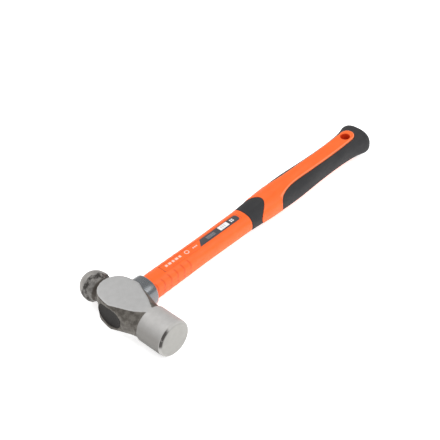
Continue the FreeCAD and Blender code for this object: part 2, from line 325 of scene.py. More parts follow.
def poll_blank():
    """The turned striking end, with a bevel between a chamfer and a quarter round."""
    steps = 6
    profile = []
    for i in range(steps + 1):
        turn = math.pi / 2 * i / steps
        straight = i / steps
        out = BEVEL_ROUND * math.sin(turn) + (1 - BEVEL_ROUND) * straight
        back = BEVEL_ROUND * (1 - math.cos(turn)) + (1 - BEVEL_ROUND) * straight
        profile.append((
            FACE_Y + FACE_BEVEL * back,
            FACE_RADIUS + (POLL_RADIUS - FACE_RADIUS) * out,
        ))
    profile.append((POLL_END_Y, POLL_END_RADIUS))
    return turned("poll_blank", profile)


def ball_blank():
    """The neck, which starts inside the eye, then the ball behind its short straight land."""
    land_y = BALL_Y - BALL_LAND
    neck = [
        (BALL_NECK_Y - 6.0, BALL_NECK_RADIUS + 1.4),
        (BALL_NECK_Y, BALL_NECK_RADIUS),
        (BALL_NECK_Y + 2.0, BALL_NECK_RADIUS + 0.75),
        (BALL_NECK_Y + 4.2, BALL_NECK_RADIUS + 1.7),
    ]
    land = [
        (land_y - 1.7, BALL_RADIUS - 1.6),
        (land_y - 1.15, BALL_RADIUS - 0.45),
        (land_y, BALL_RADIUS),
        (BALL_Y, BALL_RADIUS),
    ]
    profile = neck + land
    steps = 24
    for i in range(1, steps):
        turn = math.pi / 2 * i / steps
        profile.append((
            BALL_Y + BALL_LENGTH * power_of(math.sin(turn), 2 / BALL_POWER),
            BALL_RADIUS * power_of(math.cos(turn), 2 / BALL_POWER),
        ))
    return turned("ball_blank", profile)


def eye_outline(inset):
    """The eye seen on the cheek: a round nose, narrowing into the neck. Pairs of x and y."""
    radius = NOSE_RADIUS - inset
    start = math.radians(12)
    flank = curve_through([
        (radius * math.cos(start), NOSE_Y + radius * math.sin(start)),
        (EYE_HALF_WIDTH - inset, 2.0),
        (EYE_HALF_WIDTH - 0.9 - inset, -9.5),
        (NECK[2][1] + 0.2 - inset, NECK[2][0]),
        (NECK[0][1] - inset, NECK[0][0] - 1.0),
    ])
    nose = []
    steps = 32
    for i in range(1, steps):
        turn = math.pi - start - (math.pi - 2 * start) * i / steps
        nose.append((radius * math.cos(turn), NOSE_Y + radius * math.sin(turn)))
    other = [(-x, y) for x, y in reversed(flank)]
    return flank + other + nose


def eye_blank():
    """The forged eye: its outline with chamfered edges, inside the turned shape of the neck."""
    tall = 19.0
    edge_z = CHEEK_Z - CHEEK_EDGE
    block = draw_out("eye_blank", "z", [
        (-tall, eye_outline(tall - edge_z)),
        (-edge_z, eye_outline(0.0)),
        (edge_z, eye_outline(0.0)),
        (tall, eye_outline(tall - edge_z)),
    ])
    return cut(block, turned("neck_limit", curve_through(NECK, 6)), "INTERSECT")


def cheek_wheel(side):
    """What grinding takes off a cheek: a flat that runs out in the poll."""
    outline = []
    steps = 12
    for i in range(steps + 1):
        turn = math.radians(RUNOUT_TURN) * i / steps
        y = RUNOUT_Y - RUNOUT_RADIUS * math.sin(turn)
        z = CHEEK_Z + RUNOUT_RADIUS * (1 - math.cos(turn))
        outline.append((y, side * z))
    outline += [(outline[-1][0], side * FAR), (FAR, side * FAR), (FAR, side * CHEEK_Z)]
    return draw_out("cheek_wheel", "x", [(-FAR, outline), (FAR, outline)])


def eye_ring(x, inset=0.0):
    """The oval eye's section at x. It is narrower in the middle."""
    opened = smooth_step(abs(x), 0, MOUTH_X)
    half_y = WAIST[0] + (MOUTH[0] - WAIST[0]) * opened - inset
    half_z = WAIST[1] + (MOUTH[1] - WAIST[1]) * opened - inset
    return x, oval(half_y, half_z, EYE_POWER, MOUTH_Y)


def eye_bore():
    stations = (-BORE_REACH, -MOUTH_X, -MOUTH_X / 2, 0, MOUTH_X / 2, MOUTH_X, BORE_REACH)
    return draw_out("eye_bore", "x", [eye_ring(x) for x in stations])


def push_skin(piece, how_far):
    """Moves each corner along its normal, by what how_far says in mm for its place."""
    mesh = piece.data
    normals = [corner.normal.copy() for corner in mesh.vertices]
    for corner, normal in zip(mesh.vertices, normals):
        corner.co += normal * MM * how_far((corner.co - EYE) / MM)
    mesh.update()


def scale_height(spot):
    """Low lumps on the skin that no wheel has touched, and pits on the neck and the back of the ball."""
    ball_side = smooth_step(spot.y, 24.0, 27.0)
    eye_side = smooth_step(CHEEK_Z - abs(spot.z), 0.6, 2.0) * (1 - ball_side)
    eye_side *= smooth_step(spot.y, POLL_END_Y, POLL_END_Y + 2)
    ball_side *= 1 - smooth_step(spot.y, 36.0, 40.0)
    lumps = sum(noise.noise(spot * pace) * height for pace, height in SKIN_LUMPS) - SKIN_DROP
    pits = noise.noise(spot * BALL_PITS[0] + Vector((7, 3, 1))) * BALL_PITS[1]
    return lumps * eye_side + pits * ball_side


def soften_run_out(piece):
    """Polishes away the edge where the cheeks run out in the poll."""
    zone = piece.vertex_groups.new(name="run_out")
    for corner in piece.data.vertices:
        spot = (corner.co - EYE) / MM
        behind_face = smooth_step(spot.y, *POLISH_FROM_Y)
        before_eye = 1 - smooth_step(spot.y, *POLISH_TO_Y)
        share = behind_face * before_eye * smooth_step(abs(spot.z), *POLISH_Z)
        if share > 0:
            zone.add([corner.index], share, "REPLACE")
    polish = piece.modifiers.new("polish", "SMOOTH")
    polish.factor = 0.5
    polish.iterations = 60
    polish.vertex_group = zone.name
    select_only(piece)
    bpy.ops.object.modifier_apply(modifier=polish.name)


def forged_head():
    head = cut(poll_blank(), eye_blank(), "UNION")
    cut(head, ball_blank(), "UNION")
    for side in (1, -1):
        cut(head, cheek_wheel(side))
    cut(head, eye_bore())
    head.name = "forged_head"
    soften(head, HEAD_GRAIN, passes=3)
    soften_run_out(head)
    push_skin(head, scale_height)
    return finish_piece(head, "hammer_head")


def poured_resin():
    """The resin in the eye, with a hollow surface just inside the mouth away from the handle."""
    front = -EYE_HALF_WIDTH + RESIN_SINK + 0.5
    # x and how far inside the bore: first the dished end, then the plug
    rows = [(front + 0.5, 4.5), (front + 0.35, 2.2), (front, 0.9), (front - 0.35, 0.2)]
    into_wall = -0.15
    rows += [(x, into_wall) for x in (front - 0.1, -MOUTH_X / 2, 0, MOUTH_X / 2, MOUTH_X - 1.0)]
    resin = draw_out("poured_resin", "x", [eye_ring(x, inset) for x, inset in rows])
    select_only(resin)
    bpy.ops.object.shade_smooth_by_angle(angle=math.radians(60))
    return finish_piece(resin, "eye_resin")


# ---------------------------------------------------------------- handle

def half_size(x, column):
    """The handle's half size at x, on a smooth curve through the stations."""
    i = 0
    while i < len(HANDLE) - 2 and x > HANDLE[i + 1][0]:
        i += 1
    slopes = []
    for j in (i, i + 1):
        before = HANDLE[max(j - 1, 0)]
        after = HANDLE[min(j + 1, len(HANDLE) - 1)]
        slopes.append((after[column] - before[column]) / (after[0] - before[0]))
    a, b = HANDLE[i], HANDLE[i + 1]
    width = b[0] - a[0]
    t = min(max((x - a[0]) / width, 0.0), 1.0)
    return (
        (2 * t ** 3 - 3 * t ** 2 + 1) * a[column]
        + (t ** 3 - 2 * t ** 2 + t) * width * slopes[0]
        + (3 * t ** 2 - 2 * t ** 3) * b[column]
        + (t ** 3 - t ** 2) * width * slopes[1]
    )


def no_growth(x):
    return 0.0, 0.0, HANDLE_POWER


def jacket_growth(x):
    """How far the jacket stands out at x, along y and z, and how square it is."""
    behind_band = smooth_step(x, BAND_X + 2, BAND_SIDE_X - 1)
    rail = smooth_step(x, RAIL_X[0], RAIL_X[1])
    out = JACKET_PROUD * behind_band
    upward = out + (RAIL_PROUD - JACKET_PROUD) * rail
    return out, upward, HANDLE_POWER + (RAIL_POWER - HANDLE_POWER) * rail


def handle_bar(name, offset=0.0, start=HANDLE_START, end=HANDLE_END, growth=no_growth):
    """The handle's shape from start to end, grown by offset. Past the last station it is a cap."""
    last_x, last_y, last_z = HANDLE[-1]
    stop = min(end, last_x)
    count = max(2, round((stop - start) / STATION_STEP))
    sections = []
    for i in range(count + 1):
        x = start + (stop - start) * i / count
        more_y, more_z, squareness = growth(x)
        sections.append((x, oval(
            half_size(x, 1) + offset + more_y, half_size(x, 2) + offset + more_z, squareness
        )))
    if end > last_x:
        reach = HANDLE_END + offset - last_x
        more_y, more_z, squareness = growth(last_x)
        rings = 11
        rings_to_tip = 11.95    # the last ring stops just short of the tip, as a small flat end
        for i in range(1, rings + 1):
            turn = math.pi / 2 * i / rings_to_tip
            share = math.cos(turn) ** (2 / END_POWER)
            sections.append((
                last_x + reach * math.sin(turn) ** (2 / END_POWER),
                oval((last_y + offset + more_y) * share, (last_z + offset + more_z) * share, squareness),
            ))
    return draw_out(name, "x", sections)


def plan_block(name, outline, low=-FAR, high=FAR):
    """A block that stands straight through the handle on an outline of x and y."""
    return draw_out(name, "z", [(low, outline), (high, outline)])


def band_plan():
    """Square in front, with a round lobe behind on each wide face."""
    drop = (BAND_LOBE_X - BAND_SIDE_X) / BAND_LOBE_HALF ** 2
    rear = []
    steps = 16
    for i in range(-steps, steps + 1):
        y = BAND_LOBE_HALF * i / steps
        rear.append((BAND_LOBE_X - drop * y * y, y))
    return rear + [(BAND_SIDE_X, FAR), (BAND_X, FAR), (BAND_X, -FAR), (BAND_SIDE_X, -FAR)]


def window_plan():
    """The bare orange that the rear grip leaves: a funnel, then a strip with a round end."""
    side = []
    funnel_steps = 18
    for i in range(funnel_steps + 1):
        turn = math.pi / 2 * i / funnel_steps
        x = STRIP_X - (STRIP_X - GRIP_X) * math.cos(turn)
        y = GRIP_SIDE_HALF - (GRIP_SIDE_HALF - STRIP_HALF) * math.sin(turn)
        side.append((x, y))
    tip = []
    tip_steps = 24
    for i in range(tip_steps + 1):
        turn = math.pi / 2 - math.pi * i / tip_steps
        tip.append((STRIP_END_X + STRIP_HALF * math.cos(turn), STRIP_HALF * math.sin(turn)))
    other = [(x, -y) for x, y in reversed(side)]
    before_x = GRIP_X - 15
    front = [(GRIP_X, -FAR), (before_x, -FAR), (before_x, FAR), (GRIP_X, FAR)]
    return side + tip + other + front


def panel_plan():
    """The long panel with round corners at its rear end."""
    x0, x1 = PANEL_X
    half = PANEL_HALF
    corner = PANEL_CORNER
    outline = [(x0, -half)]
    steps = 6
    for side in (-1, 1):
        for i in range(steps + 1):
            turn = math.pi / 2 * (i / steps - (side < 0))
            outline.append((
                x1 - corner + corner * math.cos(turn),
                side * (half - corner) + corner * math.sin(turn),
            ))
    return outline + [(x0, half)]


def grip_beds():
    """The two hollows in the jacket that hold the soft grips, as solids."""
    under = handle_bar("under", -GRIP_DEPTH, BAND_X - 12)
    band_bed = plan_block("band_bed", band_plan())
    cut(band_bed, under, keep_tool=True)
    far_x = HANDLE_END + 10
    reach = FAR - 1             # less than the window that is cut from it
    outline = [(GRIP_X, -reach), (far_x, -reach), (far_x, reach), (GRIP_X, reach)]
    rear_bed = plan_block("rear_bed", outline, -reach, reach)
    cut(rear_bed, plan_block("window", window_plan()))
    cut(rear_bed, under)
    return band_bed, rear_bed


def hanging_hole():
    """A straight hole whose edges open out at the faces of the strip."""
    wide = HOLE_RADIUS + HOLE_EDGE
    edge_z = 13.4
    straight_z = edge_z - 2 * HOLE_EDGE
    beyond_z = 30
    beyond = wide + beyond_z - edge_z - HOLE_EDGE
    rows = [
        (-beyond_z, beyond), (-edge_z, wide), (-straight_z, HOLE_RADIUS),
        (straight_z, HOLE_RADIUS), (edge_z, wide), (beyond_z, beyond),
    ]
    return draw_out("hanging_hole", "z", [
        (z, oval(radius, radius, shift=HOLE_X)) for z, radius in rows
    ])


def rib_height(spot):
    """Five low curved ribs along each edge of the narrow sides, next to the collar."""
    height = abs(abs(spot.z) - RIB_Z) / RIB_HALF
    past_ribs = spot.x > RIBS_X[-1] + 12
    on_wide_face = abs(spot.y) < 4
    if past_ribs or on_wide_face or height >= 1:
        return 0.0
    bow = RIB_BOW * height ** 2
    lift = sum(math.exp(-((spot.x + bow - x) / RIB_WIDTH) ** 2) for x in RIBS_X)
    return smooth_step(1 - height, 0.0, 0.5) * RIB_LIFT * lift


def handle_pieces():
    """The jacket and the two soft grips, cut with the same tools so that they fit."""
    band_bed, rear_bed = grip_beds()
    jacket = handle_bar("moulded_jacket", growth=jacket_growth)
    cut(jacket, band_bed, keep_tool=True)
    cut(jacket, rear_bed, keep_tool=True)
    cut(jacket, hanging_hole())
    floor = handle_bar("panel_floor", -PANEL_DEPTH, HANDLE_START - 1, BAND_X)
    for side in (1, -1):
        panel = plan_block("panel", panel_plan(), *sorted((0, side * FAR)))
        cut(panel, floor, keep_tool=True)
        cut(jacket, panel)
    bpy.data.objects.remove(floor)
    soften(jacket, JACKET_GRAIN, passes=2)
    push_skin(jacket, rib_height)
    outside = handle_bar("outside", 0.0, BAND_X - 10)
    band = cut(band_bed, outside, "INTERSECT", keep_tool=True)
    band.name = "front_band"
    soften(band, BAND_GRAIN, passes=5)
    grip = cut(rear_bed, outside, "INTERSECT")
    grip.name = "soft_rear_grip"
    soften(grip, GRIP_GRAIN, passes=5)
    return [
        finish_piece(jacket, "orange_jacket"),
        finish_piece(band, "front_grip"),
        finish_piece(grip, "rear_grip"),
    ]


def collar_ring():
    """The short ring between head and jacket: a flared skirt, a round edge and a flat rear face."""
    half = COLLAR_HALF
    end = HANDLE_START
    rows = [
        (10.0, half + 0.4),
        (end - COLLAR_EDGE - 4.5, half + 0.1),
        (end - COLLAR_EDGE, half - 0.15),
    ]
    steps = 5
    for i in range(1, steps + 1):
        turn = math.pi / 2 * i / steps
        rows.append((
            end - COLLAR_EDGE + COLLAR_EDGE * math.sin(turn),
            half - 0.15 - COLLAR_EDGE * (1 - math.cos(turn)),
        ))
    ring = draw_out("collar_ring", "x", [(x, oval(r, min(r, half), HANDLE_POWER)) for x, r in rows])
    select_only(ring)
    bpy.ops.object.shade_smooth_by_angle(angle=math.radians(40))
    return finish_piece(ring, "collar")


# ---------------------------------------------------------------- materials

def wire(tree, value, socket):
    """Puts a number or a colour in a socket, or links another node's output to it."""
    if isinstance(value, bpy.types.NodeSocket):
        tree.links.new(value, socket)
    else:
        socket.default_value = value


def add(tree, kind, values=(), **settings):
    """A node with its settings and its inputs, given in order or by name."""
    made = tree.nodes.new(kind)
    for name, value in settings.items():
        setattr(made, name, value)
    pairs = values.items() if isinstance(values, dict) else enumerate(values)
    for key, value in pairs:
        if value is not None:
            wire(tree, value, made.inputs[key])
    return made


def maths(tree, what, *values):
    return add(tree, "ShaderNodeMath", values, operation=what).outputs[0]


def mix(tree, share, one, other):
    made = tree.nodes.new("ShaderNodeMix")
    made.data_type = "RGBA"
    wire(tree, share, made.inputs[0])
    wire(tree, one, made.inputs[6])
    wire(tree, other, made.inputs[7])
    return made.outputs[2]


def step_mask(tree, value, low, high):
    """0 below low, 1 above high, smooth between."""
    made = add(tree, "ShaderNodeMapRange", interpolation_type="SMOOTHSTEP")
    wire(tree, value, made.inputs[0])
    wire(tree, low, made.inputs[1])
    wire(tree, high, made.inputs[2])
    return made.outputs[0]


def minus(tree, one, other):
    return maths(tree, "SUBTRACT", one, other)


def times(tree, *values):
    """The product of several masks."""
    product = values[0]
    for value in values[1:]:
        product = maths(tree, "MULTIPLY", product, value)
    return product


def between(tree, value, low, high, soft):
    """1 from low to high, falling to 0 over the soft distance outside."""
    rise = step_mask(tree, value, low - soft, low)
    fall = step_mask(tree, value, high, high + soft)
    return times(tree, rise, minus(tree, 1.0, fall))


def clouds(tree, spot, size, detail=3.0, roughness=0.5):
    values = {"Vector": spot, "Scale": size, "Detail": detail, "Roughness": roughness}
    return add(tree, "ShaderNodeTexNoise", values).outputs[0]


def distance_from(tree, *offsets):
    """How far a place is from an axis, from its two offsets."""
    squares = [maths(tree, "MULTIPLY", offset, offset) for offset in offsets]
    return maths(tree, "SQRT", maths(tree, "ADD", *squares))


def most(tree, masks):
    """The highest of several masks."""
    high = masks[0]
    for mask in masks[1:]:
        high = maths(tree, "MAXIMUM", high, mask)
    return high


def group(name, inputs, outputs):
    """An empty shader node group with named sockets, and its two end nodes."""
    tree = bpy.data.node_groups.new(name, "ShaderNodeTree")
    for socket, kind, value in inputs:
        made = tree.interface.new_socket(socket, in_out="INPUT", socket_type=kind)
        if value is not None:
            made.default_value = value
    for socket, kind in outputs:
        tree.interface.new_socket(socket, in_out="OUTPUT", socket_type=kind)
    return tree, tree.nodes.new("NodeGroupInput").outputs, tree.nodes.new("NodeGroupOutput").inputs


def use(tree, made_group, values):
    node = tree.nodes.new("ShaderNodeGroup")
    node.node_tree = made_group
    for name, value in values.items():
        wire(tree, value, node.inputs[name])
    return node.outputs


def moulded_grain_group():
    """Fine grain of a moulded surface: a slow cloud, a fine speckle and their bumps."""
    tree, given, out = group(
        "Moulded grain",
        [("Vector", "NodeSocketVector", None), ("Fine", "NodeSocketFloat", 2.2),
         ("Depth", "NodeSocketFloat", 0.3)],
        [("Cloud", "NodeSocketFloat"), ("Speckle", "NodeSocketFloat"), ("Normal", "NodeSocketVector")],
    )
    cloud = add(tree, "ShaderNodeTexNoise", {"Vector": given["Vector"], "Scale": 0.09, "Detail": 3.0})
    speckle = add(tree, "ShaderNodeTexNoise", {
        "Vector": given["Vector"], "Scale": given["Fine"], "Detail": 2.0,
    })
    bump = add(tree, "ShaderNodeBump", {
        "Strength": given["Depth"], "Distance": 0.0001, "Height": speckle.outputs[0],
    })
    wire(tree, cloud.outputs[0], out["Cloud"])
    wire(tree, speckle.outputs[0], out["Speckle"])
    wire(tree, bump.outputs[0], out["Normal"])
    return tree


def printed_block_group():
    """1 inside a rectangle on the upper side, 0 outside, in the hammer's own mm."""
    tree, given, out = group(
        "Printed block",
        [("Vector", "NodeSocketVector", None),
         ("X", "NodeSocketFloat", 0.0), ("Y", "NodeSocketFloat", 0.0),
         ("Half X", "NodeSocketFloat", 1.0), ("Half Y", "NodeSocketFloat", 1.0)],
        [("Mask", "NodeSocketFloat")],
    )
    spot = add(tree, "ShaderNodeSeparateXYZ", [given["Vector"]]).outputs
    inside = []
    for place_of, middle, half in ((spot[0], "X", "Half X"), (spot[1], "Y", "Half Y")):
        away = maths(tree, "ABSOLUTE", minus(tree, place_of, given[middle]))
        over = minus(tree, away, given[half])
        inside.append(minus(tree, 1.0, step_mask(tree, over, -0.08, 0.08)))
    up = step_mask(tree, spot[2], 1.0, 2.0)
    wire(tree, times(tree, *inside, up), out["Mask"])
    return tree


def smudge_group():
    """Handling marks: long soft smudges, given as a mask."""
    tree, given, out = group(
        "Handling smudges",
        [("Vector", "NodeSocketVector", None), ("Amount", "NodeSocketFloat", 0.5)],
        [("Mask", "NodeSocketFloat")],
    )
    stretched = add(tree, "ShaderNodeMapping", {"Vector": given["Vector"], "Scale": (0.035, 0.11, 0.11)})
    smudge = clouds(tree, stretched.outputs[0], 1.0, 5.0, 0.6)
    shaped = step_mask(tree, smudge, 0.42, 0.75)
    wire(tree, times(tree, shaped, given["Amount"]), out["Mask"])
    return tree


GRAIN = moulded_grain_group()
BLOCK = printed_block_group()
SMUDGE = smudge_group()


def printed_blocks(tree, spot, blocks):
    """One mask for several printed blocks, each x, y, half x and half y."""
    return most(tree, [
        use(tree, BLOCK, {"Vector": spot, "X": x, "Y": y, "Half X": half_x, "Half Y": half_y})["Mask"]
        for x, y, half_x, half_y in blocks
    ])


def new_material(name):
    """A material, its node tree, its Principled BSDF and the place on the hammer in mm."""
    material = bpy.data.materials.new(name)
    material.use_nodes = True
    tree = material.node_tree
    shader = tree.nodes["Principled BSDF"]
    coordinates = tree.nodes.new("ShaderNodeTexCoord")
    spot = add(tree, "ShaderNodeMapping", {
        "Vector": coordinates.outputs["Object"],
        "Location": tuple(-EYE / MM),
        "Scale": (1 / MM, 1 / MM, 1 / MM),
    })
    return material, tree, shader, spot.outputs[0]


# Colours of the steel, from the brightest ground face to the burnt forging skin, with painted light and
# shade on the poll, the ball and the bevel.
STEEL = {
    "cheek": (0.57, 0.57, 0.57, 1),
    "wheel mark": (0.36, 0.36, 0.35, 1),
    "poll, top, painted light": (0.57, 0.56, 0.55, 1),
    "poll, side, painted half shade": (0.27, 0.26, 0.247, 1),
    "poll, under, painted shade": (0.10, 0.097, 0.09, 1),
    "bevel": (0.48, 0.47, 0.455, 1),
    "bevel, low, painted light": (0.50, 0.49, 0.475, 1),
    "face": (0.43, 0.425, 0.405, 1),
    "ball": (0.33, 0.315, 0.30, 1),
    "ball, under, painted shade": (0.20, 0.19, 0.175, 1),
    "dull patch": (0.26, 0.25, 0.235, 1),
    "bevel_dark_reflection": (0.05, 0.045, 0.042, 1),
    "skin, pale": (0.18, 0.167, 0.148, 1),
    "skin, dark": (0.085, 0.076, 0.066, 1),
    "skin, pit": (0.05, 0.044, 0.038, 1),
    "worn, pale": (0.27, 0.26, 0.245, 1),
    "worn, dark": (0.15, 0.142, 0.132, 1),
    "worn, pit": (0.07, 0.064, 0.056, 1),
    "streak": (0.04, 0.036, 0.032, 1),
    "neck": (0.055, 0.045, 0.036, 1),
}


def steel_finish():
    """One forging with three finishes: ground cheeks, turned poll and ball, and scaly skin."""
    material, tree, shader, spot = new_material("forged_and_ground_steel")
    x, y, z = add(tree, "ShaderNodeSeparateXYZ", [spot]).outputs
    mottle = clouds(tree, spot, 0.22, 5.0, 0.6)
    speckle = clouds(tree, spot, 0.75, 4.0, 0.65)

    # where the cheeks, the poll, the face and the ball have been ground or turned
    past_runout = maths(tree, "MAXIMUM", minus(tree, RUNOUT_Y, y), 0.0)
    rise = maths(tree, "DIVIDE", times(tree, past_runout, past_runout), 2 * RUNOUT_RADIUS)
    above_cheek = minus(tree, minus(tree, maths(tree, "ABSOLUTE", z), rise), CHEEK_Z)
    wander = maths(tree, "MULTIPLY_ADD", clouds(tree, spot, 0.35), 0.2, -0.1)
    cheek = step_mask(tree, maths(tree, "ADD", above_cheek, wander), -0.24, -0.05)
    cheek = times(tree, cheek, minus(tree, 1.0, step_mask(tree, y, 27.0, 28.0)))
    poll = minus(tree, 1.0, step_mask(tree, y, POLL_END_Y - 0.15, POLL_END_Y + 0.15))
    flat_face = step_mask(tree, minus(tree, FACE_Y + 0.5, y), -0.3, 0.1)

    upward = maths(tree, "ADD", times(tree, x, 0.53), times(tree, z, 0.85))
    ragged = maths(tree, "MULTIPLY_ADD", clouds(tree, spot, 0.16, 4.0), 12.0, BALL_Y - 3.0)
    ragged = minus(tree, ragged, times(tree, step_mask(tree, upward, 9.5, 13.5), 4.0))
    dome = minus(tree, y, ragged)
    ball = step_mask(tree, dome, -1.0, 1.0)
    ground = most(tree, [cheek, poll, ball])

    # turning lines run round the poll, wheel marks slant over the cheek
    turned_spot = add(tree, "ShaderNodeCombineXYZ", [distance_from(tree, x, z), y, 0.0]).outputs[0]
    lines = clouds(tree, turned_spot, 3.2, 2.0)
    wheel_spot = add(tree, "ShaderNodeMapping", {
        "Vector": spot, "Rotation": (0, 0, 0.35), "Scale": (0.35, 2.4, 1.0),
    }).outputs[0]
    wheel = clouds(tree, wheel_spot, 1.3)

    # ground and turned steel, with painted light and shade: the poll lighter on top and darker below, the
    # ball darker below
    cheek_tone = times(tree, cheek, step_mask(tree, y, POLL_END_Y - 3.0, POLL_END_Y + 8.0))
    painted_light_top = step_mask(tree, z, 5.0, 16.0)
    bright = mix(tree, painted_light_top, STEEL["poll, side, painted half shade"], STEEL["poll, top, painted light"])
    painted_shade_under = minus(tree, 1.0, step_mask(tree, z, -10.0, 7.0))
    bright = mix(tree, times(tree, painted_shade_under, poll), bright, STEEL["poll, under, painted shade"])
    bright = mix(tree, ball, bright, STEEL["ball"])
    bright = mix(tree, times(tree, ball, painted_shade_under), bright, STEEL["ball, under, painted shade"])
    bright = mix(tree, cheek_tone, bright, STEEL["cheek"])
    bright = mix(tree, times(tree, wheel, cheek_tone, 0.2), bright, STEEL["wheel mark"])
    bevel = step_mask(tree, minus(tree, FACE_Y + 3.2, y), 0.0, 0.6)
    bright = mix(tree, bevel, bright, STEEL["bevel"])
    # painted light: the lower bevel is made paler against the shade it gets from the floor under the head
    painted_light_low_bevel = times(tree, bevel, minus(tree, 1.0, step_mask(tree, z, -4.0, 4.0)))
    bright = mix(tree, painted_light_low_bevel, bright, STEEL["bevel, low, painted light"])
    bright = mix(tree, flat_face, bright, STEEL["face"])
    shade = maths(tree, "ADD", times(tree, mottle, 0.3), times(tree, lines, 0.15))
    bright = mix(tree, shade, bright, STEEL["dull patch"])
    # a painted dark reflection on the bevel's upper half, away from the handle
    bevel_dark_reflection = times(
        tree,
        between(tree, y, FACE_Y + 0.6, FACE_Y + 2.0, 0.7),
        minus(tree, 1.0, step_mask(tree, x, -9.0, -4.0)),
        step_mask(tree, z, 0.0, 4.0),
        step_mask(tree, mottle, 0.2, 0.42),
    )
    bright = mix(tree, bevel_dark_reflection, bright, STEEL["bevel_dark_reflection"])

    # forging skin, paler and worn on the back of the ball, with painted shade darkening it in the hollow
    # of the neck
    blotches = step_mask(tree, mottle, 0.35, 0.68)
    skin = mix(tree, blotches, STEEL["skin, dark"], STEEL["skin, pale"])
    pits = step_mask(tree, speckle, 0.56, 0.68)
    skin = mix(tree, times(tree, pits, 0.45), skin, STEEL["skin, pit"])
    ball_back = step_mask(tree, y, 30.0, 32.5)
    worn = mix(tree, blotches, STEEL["worn, dark"], STEEL["worn, pale"])
    worn = mix(tree, times(tree, pits, 0.6), worn, STEEL["worn, pit"])
    streak = between(tree, dome, -5.0, -0.6, 1.6)
    broken = step_mask(tree, clouds(tree, spot, 0.3, 4.0, 0.6), 0.36, 0.56)
    worn = mix(tree, times(tree, streak, broken, 0.95), worn, STEEL["streak"])
    skin = mix(tree, ball_back, skin, worn)
    # painted shade in the hollow neck between eye and ball
    neck = between(tree, y, 27.5, 30.5, 1.5)
    skin = mix(tree, times(tree, neck, 0.8), skin, STEEL["neck"])
    wire(tree, mix(tree, ground, skin, bright), shader.inputs["Base Color"])

    polished = maths(tree, "MAXIMUM", cheek_tone, times(tree, ball, 0.8))
    bare_bevel = times(tree, bevel, minus(tree, 1.0, flat_face))
    metal = maths(tree, "MULTIPLY_ADD", polished, 0.3, 0.62)
    metal = minus(tree, metal, times(tree, bare_bevel, 0.45))
    wire(tree, metal, shader.inputs["Metallic"])
    rough = maths(tree, "MULTIPLY_ADD", polished, -0.12, 0.58)
    wire(tree, maths(tree, "MULTIPLY_ADD", mottle, 0.1, rough), shader.inputs["Roughness"])

    scale_bump = times(tree, clouds(tree, spot, 1.1, 5.0), minus(tree, 1.0, ground))
    wheel_marks = times(tree, wheel, cheek, 0.12)
    lathe_marks = times(tree, lines, poll, 0.12)
    height = maths(tree, "ADD", scale_bump, maths(tree, "MAXIMUM", wheel_marks, lathe_marks))
    bump = add(tree, "ShaderNodeBump", {"Strength": 0.6, "Distance": 0.0002, "Height": height})
    wire(tree, bump.outputs[0], shader.inputs["Normal"])
    return material


def resin_finish():
    """Near-black resin with a dull, slightly grainy surface."""
    material, tree, shader, spot = new_material("dark_poured_resin")
    grain = use(tree, GRAIN, {"Vector": spot, "Fine": 1.4, "Depth": 0.5})
    colour = mix(tree, grain["Cloud"], (0.010, 0.009, 0.008, 1), (0.022, 0.019, 0.017, 1))
    wire(tree, colour, shader.inputs["Base Color"])
    wire(tree, maths(tree, "MULTIPLY_ADD", grain["Speckle"], 0.3, 0.45), shader.inputs["Roughness"])
    wire(tree, grain["Normal"], shader.inputs["Normal"])
    shader.inputs["Specular IOR Level"].default_value = 0.15
    return material


def rod_finish():
    """Glass fibre in resin, with long streaks."""
    material, tree, shader, spot = new_material("fibreglass_streaks")
    along = add(tree, "ShaderNodeMapping", {"Vector": spot, "Scale": (0.05, 3.0, 3.0)})
    streak = clouds(tree, along.outputs[0], 1.0)
    colour = mix(tree, streak, (0.42, 0.38, 0.20, 1), (0.70, 0.66, 0.45, 1))
    wire(tree, colour, shader.inputs["Base Color"])
    wire(tree, maths(tree, "MULTIPLY_ADD", streak, 0.3, 0.35), shader.inputs["Roughness"])
    return material


def collar_finish():
    """Dark blue-grey, glossy, with a metallic sheen under a clear coat."""
    material, tree, shader, spot = new_material("blue_grey_collar")
    grain = use(tree, GRAIN, {"Vector": spot, "Fine": 1.8, "Depth": 0.25})
    colour = mix(tree, grain["Cloud"], (0.11, 0.12, 0.13, 1), (0.16, 0.17, 0.182, 1))
    wire(tree, colour, shader.inputs["Base Color"])
    wire(tree, maths(tree, "MULTIPLY_ADD", grain["Speckle"], 0.12, 0.2), shader.inputs["Roughness"])
    wire(tree, grain["Normal"], shader.inputs["Normal"])
    shader.inputs["Metallic"].default_value = 0.7
    shader.inputs["Specular IOR Level"].default_value = 1.0
    shader.inputs["Coat Weight"].default_value = 1.0
    shader.inputs["Coat Roughness"].default_value = 0.25
    return material


ORANGE = {
    "deep": (0.90, 0.118, 0.012, 1),
    "bright": (0.97, 0.150, 0.022, 1),
    "smudge": (0.95, 0.175, 0.045, 1),
    "shade": (0.62, 0.060, 0.004, 1),
    "panel step": (0.34, 0.030, 0.004, 1),
    "lip_highlight": (1.0, 0.42, 0.24, 1),
    "hole": (0.66, 0.045, 0.004, 1),
    "print": (0.90, 0.84, 0.76, 1),
}


